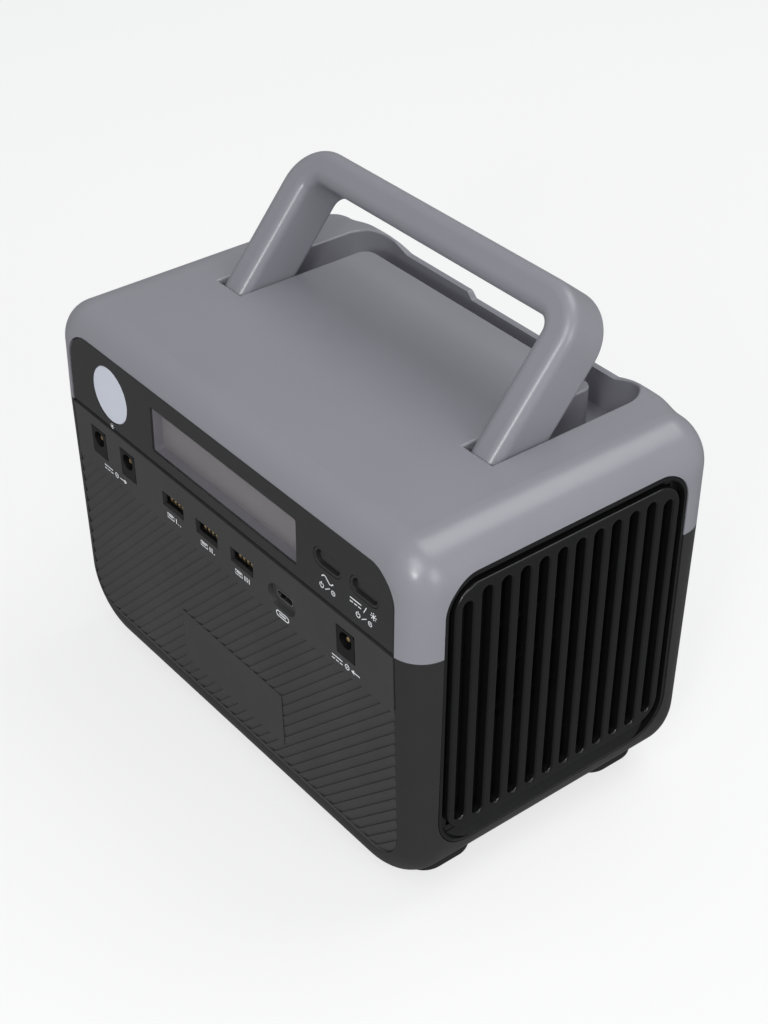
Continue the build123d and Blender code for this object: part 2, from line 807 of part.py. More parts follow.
right_insert = side_insert(right_side)
with BuildPart() as right_grille:
    add(right_insert)
    with BuildSketch(right_side):
        for index in range(slot_count):
            slot_at(index, slot_top, slot_bottom)
    extrude(amount=-slot_blind_depth, mode=Mode.SUBTRACT)
    fillet(faces().sort_by(Axis.X)[-1].edges(), 0.8)
    # open part of the middle slots
    with BuildSketch(right_side):
        for index in range(2, slot_count - 2):
            slot_at(index, slot_top, slot_open_bottom)
    extrude(amount=-insert_depth, mode=Mode.SUBTRACT)
    # crossbars behind the open slots
    with BuildSketch(right_side.offset(-insert_depth)):
        for height in crossbar_heights:
            with Locations((opening_center[0], height)):
                Rectangle(8 * slot_pitch, 2.2)
    extrude(amount=insert_depth - slot_blind_depth)

# the left side holds the mains outlet above a few blind grooves
outlet_center = (0.9, -12.0)
outlet_size = (46.0, 34.0)
left_insert = side_insert(left_side)
with BuildPart() as left_panel:
    add(left_insert)
    with BuildSketch(left_side):
        for index in range(2, slot_count - 2):
            slot_at(index, -40.0, slot_bottom)
    extrude(amount=-slot_blind_depth, mode=Mode.SUBTRACT)
    fillet(faces().sort_by(Axis.X)[0].edges(), 0.8)
    with BuildSketch(left_side):
        with Locations(outlet_center):
            RectangleRounded(*outlet_size, 6)
    extrude(amount=-insert_depth, mode=Mode.SUBTRACT)

with BuildPart() as ac_outlet:
    with BuildSketch(left_side.offset(-1.2)):
        with Locations(outlet_center):
            RectangleRounded(outlet_size[0] - 0.4, outlet_size[1] - 0.4, 5.8)
    extrude(amount=-20)
    with BuildSketch(left_side.offset(-1.2)):
        for offset, height in ((-6.35, 8.4), (6.35, 6.7)):
            with Locations((outlet_center[0] + offset, outlet_center[1] + 3)):
                Rectangle(1.9, height)
        with Locations((outlet_center[0], outlet_center[1] - 8.4)):
            Circle(2.6)
    extrude(amount=-17, mode=Mode.SUBTRACT)


# ------------------------------------------------------------------ folding handle
lean_along = (0, cos(handle_lean), sin(handle_lean))
lean_out = (0, -sin(handle_lean), cos(handle_lean))
handle_plane = Plane(origin=(0, pivot_y, pivot_z), x_dir=(1, 0, 0), z_dir=lean_out)
half_thickness = handle_thickness / 2
bar_height = handle_reach - half_thickness

with BuildPart() as handle:
    with BuildLine(handle_plane) as handle_path:
        FilletPolyline(
            (-handle_leg_x, -handle_front),
            (-handle_leg_x, bar_height),
            (handle_leg_x, bar_height),
            (handle_leg_x, -handle_front),
            radius=handle_bend,
        )
    section_plane = Plane(origin=handle_path.line @ 0, x_dir=(1, 0, 0), z_dir=handle_path.line % 0)
    with BuildSketch(section_plane):
        with Locations((0, (handle_back - handle_front) / 2)):
            Rectangle(handle_thickness, handle_front + handle_back)
        fillet(vertices().group_by(Axis.Y)[0], handle_front_round)
        fillet(vertices().group_by(Axis.Y)[-1], handle_back_round)
    sweep(path=handle_path.line)
    # round the lower ends about the pivot
    end_plane = Plane(origin=(-90, pivot_y, pivot_z), x_dir=lean_along, z_dir=(1, 0, 0))
    with BuildSketch(end_plane):
        Rectangle(20, 40, align=(Align.MAX, Align.CENTER))
        Circle(handle_front, mode=Mode.SUBTRACT)
    extrude(amount=180, mode=Mode.SUBTRACT)
    with BuildSketch(Plane.YZ.offset(-90)):
        with Locations((pivot_y, pivot_z)):
            Circle(pin_radius + pin_clearance)
    extrude(amount=180, mode=Mode.SUBTRACT)

with BuildPart() as handle_pins:
    for low_x in (slot_inner - recess_wall, -slot_outer - recess_wall):
        with BuildSketch(Plane.YZ.offset(low_x)):
            with Locations((pivot_y, pivot_z)):
                Circle(pin_radius)
        extrude(amount=slot_outer - slot_inner + 2 * recess_wall)

with BuildPart() as friction_washers:
    for low_x in (slot_inner + 0.1, -slot_inner - 0.7):
        with BuildSketch(Plane.YZ.offset(low_x)):
            with Locations((pivot_y, pivot_z)):
                Circle(6)
                Circle(pin_radius, mode=Mode.SUBTRACT)
        extrude(amount=0.6)


# ------------------------------------------------------------------ fan
fan_plane = Plane(origin=(fan_front_x, fan_y, fan_z), x_dir=(0, 1, 0), z_dir=(1, 0, 0))

with BuildPart() as fan_frame:
    with BuildSketch(fan_plane):
        RectangleRounded(fan_size, fan_size, 4)
        Circle(fan_bore, mode=Mode.SUBTRACT)
        with GridLocations(fan_size - 9, fan_size - 9, 2, 2):
            Circle(1.9, mode=Mode.SUBTRACT)
    extrude(amount=-fan_thickness)
    # struts and motor cup at the back
    with BuildSketch(fan_plane.offset(-fan_thickness)):
        Circle(fan_hub_radius)
        for angle in (20, 140, 260):
            with Locations(Rotation(0, 0, angle)):
                with Locations((fan_bore / 2 + 3, 0)):
                    Rectangle(fan_bore, 3.2)
    extrude(amount=2)
    with BuildSketch(fan_plane.offset(-fan_thickness + 2)):
        Circle(3)
    extrude(amount=3)

fan_rotor_back = fan_thickness - 6.2
with BuildPart() as fan_rotor:
    with BuildSketch(fan_plane.offset(-fan_rotor_back)):
        Circle(fan_hub_radius)
    extrude(amount=fan_rotor_back - 1)
    fillet(faces().sort_by(Axis.X)[-1].edges(), 1.2)
    # seven pitched blades
    blade_reach = fan_bore - 1.2
    for blade in range(7):
        turn = radians(blade * 360 / 7)
        out_dir = Vector(0, cos(turn), sin(turn))
        around_dir = Vector(0, -sin(turn), cos(turn))
        root = Vector(fan_front_x - 5, fan_y, fan_z) + out_dir * (fan_hub_radius - 1.5)
        pitch_dir = (around_dir * cos(radians(22)) + Vector(1, 0, 0) * sin(radians(22))).normalized()
        with BuildSketch(Plane(origin=root, x_dir=pitch_dir, z_dir=out_dir)):
            Rectangle(14, 1.2)
        extrude(amount=blade_reach - fan_hub_radius - 0.5)

with BuildPart() as fan_screws:
    for y in (-1, 1):
        for z in (-1, 1):
            spot = (fan_front_x, fan_y + y * (fan_size - 9) / 2, fan_z + z * (fan_size - 9) / 2)
            with BuildSketch(Plane(origin=spot, x_dir=(0, 1, 0), z_dir=(1, 0, 0))):
                Circle(1.6)
            extrude(amount=-fan_thickness)
            with BuildSketch(Plane(origin=spot, x_dir=(0, 1, 0), z_dir=(-1, 0, 0)).offset(fan_thickness)):
                Circle(3)
            extrude(amount=2)

with BuildPart() as fan_posts:
    # pads between the grille insert and the fan
    for y in (-1, 1):
        for z in (-1, 1):
            spot = (fan_front_x, fan_y + y * (fan_size - 9) / 2, fan_z + z * (fan_size - 9) / 2)
            with BuildSketch(Plane(origin=spot, x_dir=(0, 1, 0), z_dir=(1, 0, 0))):
                Circle(3.4)
            extrude(amount=half_width - insert_depth - fan_front_x)


# ------------------------------------------------------------------ battery pack
cell_grid = GridLocations(cell_pitch, cell_pitch, cell_columns, cell_rows)
cell_base_z = battery_base_z + 2.0
cell_top_z = cell_base_z + cell_length


def cell_spots():
    """Centres of the cells in plan."""
    return [(place.position.X, place.position.Y + battery_y) for place in cell_grid.locations]


with BuildPart() as battery_cells:
    with BuildSketch(Plane.XY.offset(cell_base_z)):
        with Locations(*cell_spots()):
            Circle(cell_radius)
    extrude(amount=cell_length)
    fillet(faces().group_by(Axis.Z)[-1].edges(), 1.0)


def cell_holder(low_z, floor_below):
    """Holder plate with a socket for each cell and its floor on one side."""
    with BuildPart() as holder:
        with BuildSketch(Plane.XY.offset(low_z)):
            with Locations((0, battery_y)):
                RectangleRounded(pack_x, pack_y, 4)
        extrude(amount=holder_height)
        socket_z = low_z + 2.0 if floor_below else low_z
        with BuildSketch(Plane.XY.offset(socket_z)):
            with Locations(*cell_spots()):
                Circle(cell_radius + 0.1)
        extrude(amount=holder_height - 2.0, mode=Mode.SUBTRACT)
        with BuildSketch(Plane.XY.offset(low_z)):
            with Locations(*cell_spots()):
                Circle(cell_radius - 3)
        extrude(amount=holder_height, mode=Mode.SUBTRACT)
    return holder


cell_holder_lower = cell_holder(battery_base_z, True)
cell_holder_upper = cell_holder(cell_top_z + 2.0 - holder_height, False)

with BuildPart() as nickel_strips:
    # each strip joins two neighbouring columns of cells through the upper holder
    with BuildSketch(Plane.XY.offset(cell_top_z + 2.0)):
        for pair in (-1, 0, 1):
            with Locations((pair * 2 * cell_pitch, battery_y)):
                Rectangle(cell_pitch + 12, cell_rows * cell_pitch - 4)
    extrude(amount=0.3)

with BuildPart() as bms_board:
    with BuildSketch(Plane.XZ.offset(-(battery_y + pack_y / 2 + 3))):
        with Locations((0, 42)):
            Rectangle(108, 68)
    extrude(amount=-1.6)

with BuildPart() as bms_pads:
    with BuildSketch(Plane.XZ.offset(-(battery_y + pack_y / 2 + 3))):
        with Locations((0, 12), (0, 71)):
            with GridLocations(40, 1, 2, 1):
                Rectangle(8, 3)
    extrude(amount=3)


# ------------------------------------------------------------------ power electronics
board_z = 94.0
board_thickness = 1.6
board_top_z = board_z + board_thickness
with BuildPart() as inverter_board:
    with BuildSketch(Plane.XY.offset(board_z)):
        with Locations((-4, 10)):
            Rectangle(124, 78)
        with Locations((-4, 10)):
            with GridLocations(112, 40, 2, 2):
                Circle(1.7, mode=Mode.SUBTRACT)
    extrude(amount=board_thickness)

with BuildPart() as board_standoffs:
    with BuildSketch(Plane.XY.offset(bottom_z + wall)):
        with Locations((-4, 10)):
            with GridLocations(139, 40, 2, 2):
                Rectangle(6, 6)
    extrude(amount=board_z - bottom_z - wall)
    with BuildSketch(Plane.XY.offset(board_z - 4)):
        with Locations((-4, 10)):
            with GridLocations(126, 40, 2, 2):
                Rectangle(20, 6)
    extrude(amount=4)

with BuildPart() as board_screws:
    with BuildSketch(Plane.XY.offset(board_top_z)):
        with Locations((-4, 10)):
            with GridLocations(112, 40, 2, 2):
                Circle(2.8)
    extrude(amount=1.8)
    with BuildSketch(Plane.XY.offset(board_z)):
        with Locations((-4, 10)):
            with GridLocations(112, 40, 2, 2):
                Circle(1.5)
    extrude(amount=board_thickness)

with BuildPart() as transformer_core:
    with BuildSketch(Plane.XY.offset(board_top_z + 1)):
        with Locations((-34, 8)):
            Rectangle(34, 30)
    extrude(amount=24)
    with BuildSketch(Plane.XY.offset(board_top_z + 5)):
        with Locations((-34, 8)):
            Rectangle(22, 30)
            Rectangle(9, 30, mode=Mode.SUBTRACT)
    extrude(amount=16, mode=Mode.SUBTRACT)

with BuildPart() as transformer_coil:
    with BuildSketch(Plane.XY.offset(board_top_z + 5.3)):
        with Locations((-34, 8)):
            RectangleRounded(21, 38, 5)
            Rectangle(9.4, 30.4, mode=Mode.SUBTRACT)
    extrude(amount=15.4)

with BuildPart() as heatsink:
    with BuildSketch(Plane.XY.offset(board_top_z)):
        with Locations((14, 34)):
            Rectangle(58, 3)
        with Locations((14, 27)):
            with GridLocations(6.2, 1, 10, 1):
                Rectangle(1.4, 13)
    extrude(amount=24)

with BuildPart() as power_transistors:
    with BuildSketch(Plane.XY.offset(board_top_z + 2)):
        with Locations((14, 38)):
            with GridLocations(14, 1, 4, 1):
                Rectangle(10, 4.4)
    extrude(amount=15)

with BuildPart() as capacitors:
    with BuildSketch(Plane.XY.offset(board_top_z)):
        with Locations((4, -16), (22, -16), (40, -16)):
            Circle(8)
    extrude(amount=24)
    fillet(faces().group_by(Axis.Z)[-1].edges(), 1.0)

with BuildPart() as fuse_holder:
    with BuildSketch(Plane.XY.offset(board_top_z)):
        with Locations((-54, -22)):
            Rectangle(20, 8)
    extrude(amount=11)

# power leads from the battery's board up to the inverter board
lead_radius = 1.6
lead_y = battery_y + pack_y / 2 + 4.6
with BuildPart() as battery_leads:
    for x in (-52.0, -44.0):
        with BuildLine(Plane.YZ.offset(x)) as lead_path:
            FilletPolyline((lead_y, 62), (lead_y + 5, 62), (lead_y + 5, board_z), radius=4)
        start = Plane(origin=lead_path.line @ 0, z_dir=lead_path.line % 0)
        with BuildSketch(start):
            Circle(lead_radius)
        sweep(path=lead_path.line)


# ------------------------------------------------------------------ export
pieces = {
    "top_cover": top_cover,
    "lower_case": lower_case,
    "rubber_feet": rubber_feet,
    "case_screws": case_screws,
    "front_fascia": front_fascia,
    "display_window": display_window,
    "display_frame": display_frame,
    "lcd_module": lcd_module,
    "light_lens": light_lens,
    "light_reflector": light_reflector,
    "light_board": light_board,
    "light_leds": light_leds,
    "button_bezels": button_bezels,
    "ac_button": button_caps["ac_button"],
    "dc_light_button": button_caps["dc_light_button"],
    "button_switches": button_switches,
    "display_board": display_board,
    "display_standoffs": display_standoffs,
    "port_panel": port_panel,
    "dc_output_jacks": dc_output_jacks,
    "dc_input_jack": dc_input_jack,
    "jack_pins": jack_pins,
    "usb_a_shells": usb_a_shells,
    "usb_a_tongues": usb_a_tongues,
    "usb_c_port": usb_c_port,
    "usb_c_tongue": usb_c_tongue,
    "port_board": port_board,
    "right_grille": right_grille,
    "left_panel": left_panel,
    "ac_outlet": ac_outlet,
    "handle": handle,
    "handle_pins": handle_pins,
    "friction_washers": friction_washers,
    "fan_frame": fan_frame,
    "fan_rotor": fan_rotor,
    "fan_screws": fan_screws,
    "fan_posts": fan_posts,
    "battery_cells": battery_cells,
    "cell_holder_lower": cell_holder_lower,
    "cell_holder_upper": cell_holder_upper,
    "nickel_strips": nickel_strips,
    "bms_board": bms_board,
    "bms_pads": bms_pads,
    "inverter_board": inverter_board,
    "board_standoffs": board_standoffs,
    "board_screws": board_screws,
    "transformer_core": transformer_core,
    "transformer_coil": transformer_coil,
    "heatsink": heatsink,
    "power_transistors": power_transistors,
    "capacitors": capacitors,
    "fuse_holder": fuse_holder,
    "battery_leads": battery_leads,
}

for name, piece in pieces.items():
    piece.part.label = name
    export_step(piece.part, f"parts/{name}.step")
    size = piece.part.bounding_box().size
    print(f"{name}: {len(piece.part.solids())} solids, {size.X:.1f} x {size.Y:.1f} x {size.Z:.1f}")
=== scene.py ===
"""Visual model and studio scene of the portable power station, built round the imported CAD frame.

Metres, +Z up, -Y is the front. The CAD nodes keep their shape and get their materials here. The
printed marks and the type A sockets' spring contacts are meshes of their own that ride on the shell.
"""
import json
from math import cos, pi, radians, sin

import bpy
import bmesh
from mathutils import Matrix, Vector


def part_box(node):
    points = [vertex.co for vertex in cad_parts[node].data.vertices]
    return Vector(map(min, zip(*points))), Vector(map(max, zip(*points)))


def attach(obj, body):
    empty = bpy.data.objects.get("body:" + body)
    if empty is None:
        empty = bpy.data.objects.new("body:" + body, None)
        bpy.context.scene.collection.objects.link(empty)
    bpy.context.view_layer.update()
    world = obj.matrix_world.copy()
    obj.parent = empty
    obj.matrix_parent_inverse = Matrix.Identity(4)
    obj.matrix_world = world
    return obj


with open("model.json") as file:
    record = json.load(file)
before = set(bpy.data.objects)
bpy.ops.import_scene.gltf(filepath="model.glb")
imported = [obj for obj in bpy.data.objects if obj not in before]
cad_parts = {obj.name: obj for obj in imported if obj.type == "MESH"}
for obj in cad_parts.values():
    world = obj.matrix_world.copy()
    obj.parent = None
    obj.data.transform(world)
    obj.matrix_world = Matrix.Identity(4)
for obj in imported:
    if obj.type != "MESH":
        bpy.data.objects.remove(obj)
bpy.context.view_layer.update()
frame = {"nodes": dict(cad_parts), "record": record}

MM = 0.001

# ------------------------------------------------------------------ places on the front
PARTING_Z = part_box("top_cover")[0].z
FASCIA_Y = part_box("front_fascia")[0].y
PANEL_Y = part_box("port_panel")[0].y
PANEL_LEAN = radians(1.9)       # the lower front leans back towards its foot


def on_fascia(x, height, out=0.0):
    """Point on the upright fascia: x, height above the parting line and distance out, all in mm."""
    return Vector((x * MM, FASCIA_Y - out * MM, PARTING_Z + height * MM))


def on_panel(x, height, out=0.0):
    """Point on the leaning lower front, given as on the fascia; heights there are negative."""
    rise = height * MM
    forward = out * MM
    return Vector((
        x * MM,
        PANEL_Y - rise * sin(PANEL_LEAN) - forward * cos(PANEL_LEAN),
        PARTING_Z + rise * cos(PANEL_LEAN) - forward * sin(PANEL_LEAN),
    ))


def middle_x(node):
    """Middle of a node's width, in mm."""
    low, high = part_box(node)
    return (low.x + high.x) / 2 / MM


AC_KEY_X = middle_x("ac_button")
DC_KEY_X = middle_x("dc_light_button")
USB_A_PITCH = 20.8
USB_A_X = [middle_x("usb_a_shells") + USB_A_PITCH * k for k in (-1, 0, 1)]
USB_C_X = middle_x("usb_c_port")


# ------------------------------------------------------------------ material helpers
NOISE_RANGE = (0.3, 0.7)        # where most of a noise texture's values lie
GLOSS_FINENESS = 3.1            # how much finer the patches of gloss are than those of tone


def new_material(name):
    """Material with only a Principled shader and its output."""
    material = bpy.data.materials.new(name)
    material.use_nodes = True
    tree = material.node_tree
    return material, tree, tree.nodes["Principled BSDF"]


def object_place(tree):
    """Object coordinates in metres, so that a texture stays on its piece."""
    return tree.nodes.new("ShaderNodeTexCoord").outputs["Object"]


def noise(tree, coordinates, scale, detail, roughness=0.5):
    """Value of a noise texture, scale in cells per metre."""
    node = tree.nodes.new("ShaderNodeTexNoise")
    node.inputs["Scale"].default_value = scale
    node.inputs["Detail"].default_value = detail
    node.inputs["Roughness"].default_value = roughness
    tree.links.new(coordinates, node.inputs["Vector"])
    return node.outputs["Fac"]


def mapped(tree, value, source, target=(0.0, 1.0)):
    """Maps value from the range source onto the range target."""
    node = tree.nodes.new("ShaderNodeMapRange")
    node.inputs["From Min"].default_value = source[0]
    node.inputs["From Max"].default_value = source[1]
    node.inputs["To Min"].default_value = target[0]
    node.inputs["To Max"].default_value = target[1]
    tree.links.new(value, node.inputs["Value"])
    return node.outputs["Result"]


def tinted(tree, value, dark, light):
    """Colour between dark and light, chosen by value."""
    node = tree.nodes.new("ShaderNodeMix")
    node.data_type = "RGBA"
    node.inputs["A"].default_value = (*dark, 1)
    node.inputs["B"].default_value = (*light, 1)
    tree.links.new(value, node.inputs["Factor"])
    return node.outputs["Result"]


def embossed(tree, shader, height, depth, strength=1.0):
    """Gives the shader's normal a relief of depth millimetres that follows height."""
    node = tree.nodes.new("ShaderNodeBump")
    node.inputs["Strength"].default_value = strength
    node.inputs["Distance"].default_value = depth * MM
    tree.links.new(height, node.inputs["Height"])
    tree.links.new(node.outputs["Normal"], shader.inputs["Normal"])


def shaded(colour, share):
    """The colour, darker or lighter by a factor."""
    return [channel * share for channel in colour]


def plastic(name, colour, roughness, *, grain, relief, vary, specular=0.5, mottle=28, smudge=0.04):
    """Moulded plastic: a fine grain of relief mm, and slow changes of tone and of gloss."""
    material, tree, shader = new_material(name)
    place = object_place(tree)
    tone = mapped(tree, noise(tree, place, scale=mottle, detail=3), NOISE_RANGE)
    base = tinted(tree, tone, shaded(colour, 1 - vary), shaded(colour, 1 + vary))
    tree.links.new(base, shader.inputs["Base Color"])
    patches = noise(tree, place, scale=mottle * GLOSS_FINENESS, detail=4)
    gloss = mapped(tree, patches, NOISE_RANGE, (roughness - smudge, roughness + smudge))
    tree.links.new(gloss, shader.inputs["Roughness"])
    fine = noise(tree, place, scale=grain, detail=2, roughness=0.6)
    embossed(tree, shader, fine, depth=relief)
    shader.inputs["Specular IOR Level"].default_value = specular
    return material


def metal(name, colour, roughness, stretch=(1, 1, 12)):
    """Metal with fine lines drawn across Z; stretch is how much finer the texture is along each axis."""
    material, tree, shader = new_material(name)
    mapping = tree.nodes.new("ShaderNodeMapping")
    mapping.inputs["Scale"].default_value = stretch
    tree.links.new(object_place(tree), mapping.inputs["Vector"])
    lines = noise(tree, mapping.outputs["Vector"], scale=900, detail=3, roughness=0.6)
    base = tinted(tree, mapped(tree, lines, NOISE_RANGE), shaded(colour, 0.88), colour)
    tree.links.new(base, shader.inputs["Base Color"])
    gloss = mapped(tree, lines, NOISE_RANGE, (roughness * 0.75, roughness * 1.3))
    tree.links.new(gloss, shader.inputs["Roughness"])
    embossed(tree, shader, lines, depth=0.01, strength=0.6)
    shader.inputs["Metallic"].default_value = 1.0
    return material


def smoked(name, colour, alpha):
    """Smoked clear plastic that lets the light straight through."""
    material, tree, shader = new_material(name)
    haze = noise(tree, object_place(tree), scale=60, detail=3)
    tree.links.new(mapped(tree, haze, NOISE_RANGE, (0.05, 0.10)), shader.inputs["Roughness"])
    base = tinted(tree, mapped(tree, haze, NOISE_RANGE), shaded(colour, 0.8), colour)
    tree.links.new(base, shader.inputs["Base Color"])
    shader.inputs["Alpha"].default_value = alpha
    shader.inputs["Specular IOR Level"].default_value = 0.45
    return material


def circuit_board(name):
    """Green board with darker copper runs under the lacquer."""
    material, tree, shader = new_material(name)
    runs = tree.nodes.new("ShaderNodeTexVoronoi")
    runs.distance = "CHEBYCHEV"
    runs.inputs["Scale"].default_value = 260
    tree.links.new(object_place(tree), runs.inputs["Vector"])
    tone = mapped(tree, runs.outputs["Distance"], NOISE_RANGE)
    base = tinted(tree, tone, (0.006, 0.05, 0.02), (0.02, 0.12, 0.05))
    tree.links.new(base, shader.inputs["Base Color"])
    shader.inputs["Roughness"].default_value = 0.3
    return material


# ------------------------------------------------------------------ materials
MATERIALS = {                   # by the record's material slot
    "cover_plastic": plastic("cover_satin", (0.232, 0.230, 0.260), 0.29, grain=1100, relief=0.003,
                             vary=0.02, specular=0.55, smudge=0.012),
    "case_plastic": plastic("case_satin", (0.024, 0.0236, 0.024), 0.42, grain=2200, relief=0.02,
                            vary=0.06, specular=0.34),
    "dark_plastic": plastic("dark_moulded", (0.010, 0.0102, 0.011), 0.40, grain=1900, relief=0.02,
                            vary=0.1, specular=0.3),
    "gloss_plastic": plastic("fascia_gloss", (0.025, 0.025, 0.0255), 0.12, grain=1500, relief=0.002,
                             vary=0.05, specular=0.36, smudge=0.03),
    "smoked_window": smoked("window_smoked", (0.04, 0.04, 0.042), 0.07),
    "display_grey": plastic("display_unlit", (0.250, 0.238, 0.249), 0.42, grain=3000, relief=0.002,
                            vary=0.02, specular=0.2),
    "frame_grey": plastic("frame_satin", (0.215, 0.208, 0.232), 0.42, grain=2600, relief=0.004,
                          vary=0.03, specular=0.2),
    "lens_white": plastic("lens_frosted", (0.56, 0.59, 0.665), 0.34, grain=1600, relief=0.01,
                          vary=0.02, specular=0.4),
    "key_plastic": plastic("key_satin", (0.024, 0.024, 0.0245), 0.26, grain=2400, relief=0.006, vary=0.05),
    "bright_metal": metal("nickel", (0.72, 0.71, 0.69), 0.26),
    "steel": metal("zinc_steel", (0.56, 0.57, 0.58), 0.34, stretch=(1, 1, 1)),
    "rubber": plastic("soft_rubber", (0.014, 0.014, 0.0142), 0.62, grain=1500, relief=0.03,
                      vary=0.12, specular=0.3),
    "circuit_board": circuit_board("board_green"),
    "cell_wrap": plastic("cell_sleeve", (0.02, 0.10, 0.30), 0.3, grain=900, relief=0.004, vary=0.05),
    "ferrite": plastic("ferrite_core", (0.035, 0.035, 0.037), 0.6, grain=2600, relief=0.03, vary=0.15),
    "copper": metal("enamelled_copper", (0.70, 0.32, 0.16), 0.3, stretch=(1, 1, 40)),
    "aluminium": metal("drawn_aluminium", (0.76, 0.77, 0.78), 0.36),
}
# lighter copy of the case plastic for the lower front: painted sheen standing in for the light its relief
# and gloss catch
PANEL_PAINTED_SHEEN = plastic("panel_painted_sheen", (0.041, 0.0405, 0.041), 0.40, grain=2200, relief=0.02,
                      vary=0.06, specular=0.36)
GRILLE_BLACK = plastic("grille_black", (0.0055, 0.0056, 0.006), 0.24, grain=1700, relief=0.008,
                       vary=0.08, specular=0.42)
SOCKET_BLACK = plastic("socket_black", (0.006, 0.006, 0.0062), 0.38, grain=2200, relief=0.01,
                       vary=0.1, specular=0.3)
SHELL_DARK = metal("nickel_shaded", (0.16, 0.155, 0.15), 0.34)
CONTACT_GOLD = metal("contact_gold", (0.86, 0.62, 0.30), 0.36)
PRINT_WHITE = plastic("print_white", (0.72, 0.73, 0.75), 0.5, grain=4000, relief=0.004, vary=0.03)
LOOKS = {                       # nodes that look unlike the rest of their slot
    "port_panel": PANEL_PAINTED_SHEEN,
    "right_grille": GRILLE_BLACK,
    "left_panel": GRILLE_BLACK,
    "ac_outlet": SOCKET_BLACK,
    "dc_output_jacks": SOCKET_BLACK,
    "dc_input_jack": SOCKET_BLACK,
    "usb_a_tongues": SOCKET_BLACK,
    "usb_a_shells": SHELL_DARK,
    "jack_pins": CONTACT_GOLD,
}

slots = {part["node"]: part["material_slot"] for part in frame["record"]["subparts"]}
for name, node in frame["nodes"].items():
    node.data.materials.clear()
    node.data.materials.append(LOOKS.get(name, MATERIALS[slots[name]]))


# ------------------------------------------------------------------ mesh helpers
def band(form, low, high):
    """Joins two loops of as many vertices with faces."""
    for k in range(len(low)):
        j = (k + 1) % len(low)
        form.faces.new((low[k], low[j], high[j], high[k]))


def shell_piece(name, form, material):
    """Turns form into a piece that rides on the shell."""
    bmesh.ops.recalc_face_normals(form, faces=form.faces)
    mesh = bpy.data.meshes.new(name)
    form.to_mesh(mesh)
    form.free()
    mesh.materials.append(material)
    piece = bpy.data.objects.new(name, mesh)
    bpy.context.scene.collection.objects.link(piece)
    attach(piece, "shell")


# ------------------------------------------------------------------ lines and shapes of the print, mm
LINE = 0.42                     # usual width of a printed line
THIN = 0.7 * LINE
FINE = 0.8 * LINE
OUTLINE = 0.9 * LINE
BOLD = 1.2 * LINE
PRINT_THICKNESS = 0.05


def printed(name, place, faces):
    """Printed mark: faces are lists of (x, height) corners on the surface that place describes."""
    form = bmesh.new()
    for face in faces:
        low = [form.verts.new(place(x, height)) for x, height in face]
        high = [form.verts.new(place(x, height, PRINT_THICKNESS)) for x, height in face]
        form.faces.new(high)
        form.faces.new(list(reversed(low)))
        band(form, low, high)
    shell_piece(name, form, PRINT_WHITE)


def stroke(points, width, closed=False):
    """Line of the given width through points, as a list of quads."""
    last = len(points) - 1
    sides = []
    for index, point in enumerate(points):
        before = points[index - 1] if index or closed else point
        after = points[(index + 1) % len(points)] if index < last or closed else point
        along = Vector((after[0] - before[0], after[1] - before[1])).normalized()
        across = Vector((-along.y, along.x)) * width / 2
        sides.append((Vector(point) - across, Vector(point) + across))
    pairs = list(zip(sides, sides[1:]))
    if closed:
        pairs.append((sides[-1], sides[0]))
    return [(a[0], b[0], b[1], a[1]) for a, b in pairs]


def arc(centre, radius, start, end, steps=24):
    """Points on an arc, angles in degrees."""
    turns = [radians(start + (end - start) * k / steps) for k in range(steps + 1)]
    return [(centre[0] + radius * cos(t), centre[1] + radius * sin(t)) for t in turns]


def circle(radius, steps=24):
    """Points round a circle, each of them once."""
    return arc((0, 0), radius, 0, 360, steps)[:-1]


def shifted(faces, x, y, scale=1.0):
    """The same faces, scaled and moved."""
    return [[(a * scale + x, b * scale + y) for a, b in face] for face in faces]


# ------------------------------------------------------------------ printed marks
def wave_mark(length=6.0, height=1.0, steps=24):
    """Alternating current: one turn of a wave."""
    shares = [k / steps for k in range(steps + 1)]
    return stroke([(length * (share - 0.5), height * sin(2 * pi * share)) for share in shares], LINE)


def direct_mark(half_length=2.8, half_gap=0.7, dash=1.5, pitch=2.05):
    """Direct current: a full line over a broken one."""
    faces = stroke([(-half_length, half_gap), (half_length, half_gap)], LINE)
    for k in range(3):
        start = pitch * k - half_length
        faces += stroke([(start, -half_gap), (start + dash, -half_gap)], LINE)
    return faces


def power_mark():
    """Ring that is open at the top, with a short upright in its gap."""
    ring = arc((0, 0), 0.95, 125, 415)
    return stroke(ring, FINE) + stroke([(0, 0.1), (0, 1.4)], FINE)


def lamp_mark(disc=0.6, ray_start=0.9, ray_end=1.4):
    """Small disc with eight rays."""
    faces = [circle(disc, 16)]
    for turn in range(0, 360, 45):
        a = cos(radians(turn))
        b = sin(radians(turn))
        faces += stroke([(ray_start * a, ray_start * b), (ray_end * a, ray_end * b)], THIN)
    return faces


def slash_mark(half_width, half_height, width):
    """Slash between two other marks."""
    return stroke([(-half_width, -half_height), (half_width, half_height)], width)


def arrow_mark(direction):
    """Arrow that points right for a direction of 1, left for -1."""
    shaft = stroke([(-2.2 * direction, 0), (1.0 * direction, 0)], LINE)
    head = [(2.3 * direction, 0), (0.7 * direction, 0.95), (0.7 * direction, -0.95)]
    return shaft + [head]


def barrel_mark():
    """A round socket with its pin."""
    return stroke(circle(1.0), FINE, closed=True) + [circle(0.32, 12)]


def bars_mark(count, foot=-1.05, full=1.05, stub=-0.55):
    """A flat socket's outline, and beside it three bars, of which count are tall."""
    faces = stroke([(-4.2, -0.9), (-0.2, -0.9), (-0.2, 0.9), (-4.2, 0.9)], OUTLINE, closed=True)
    faces += stroke([(-3.5, 0.2), (-0.9, 0.2)], BOLD)
    for k in range(3):
        x = 1.3 + 1.25 * k
        faces += stroke([(x, foot), (x, full if k < count else stub)], BOLD)
    return faces


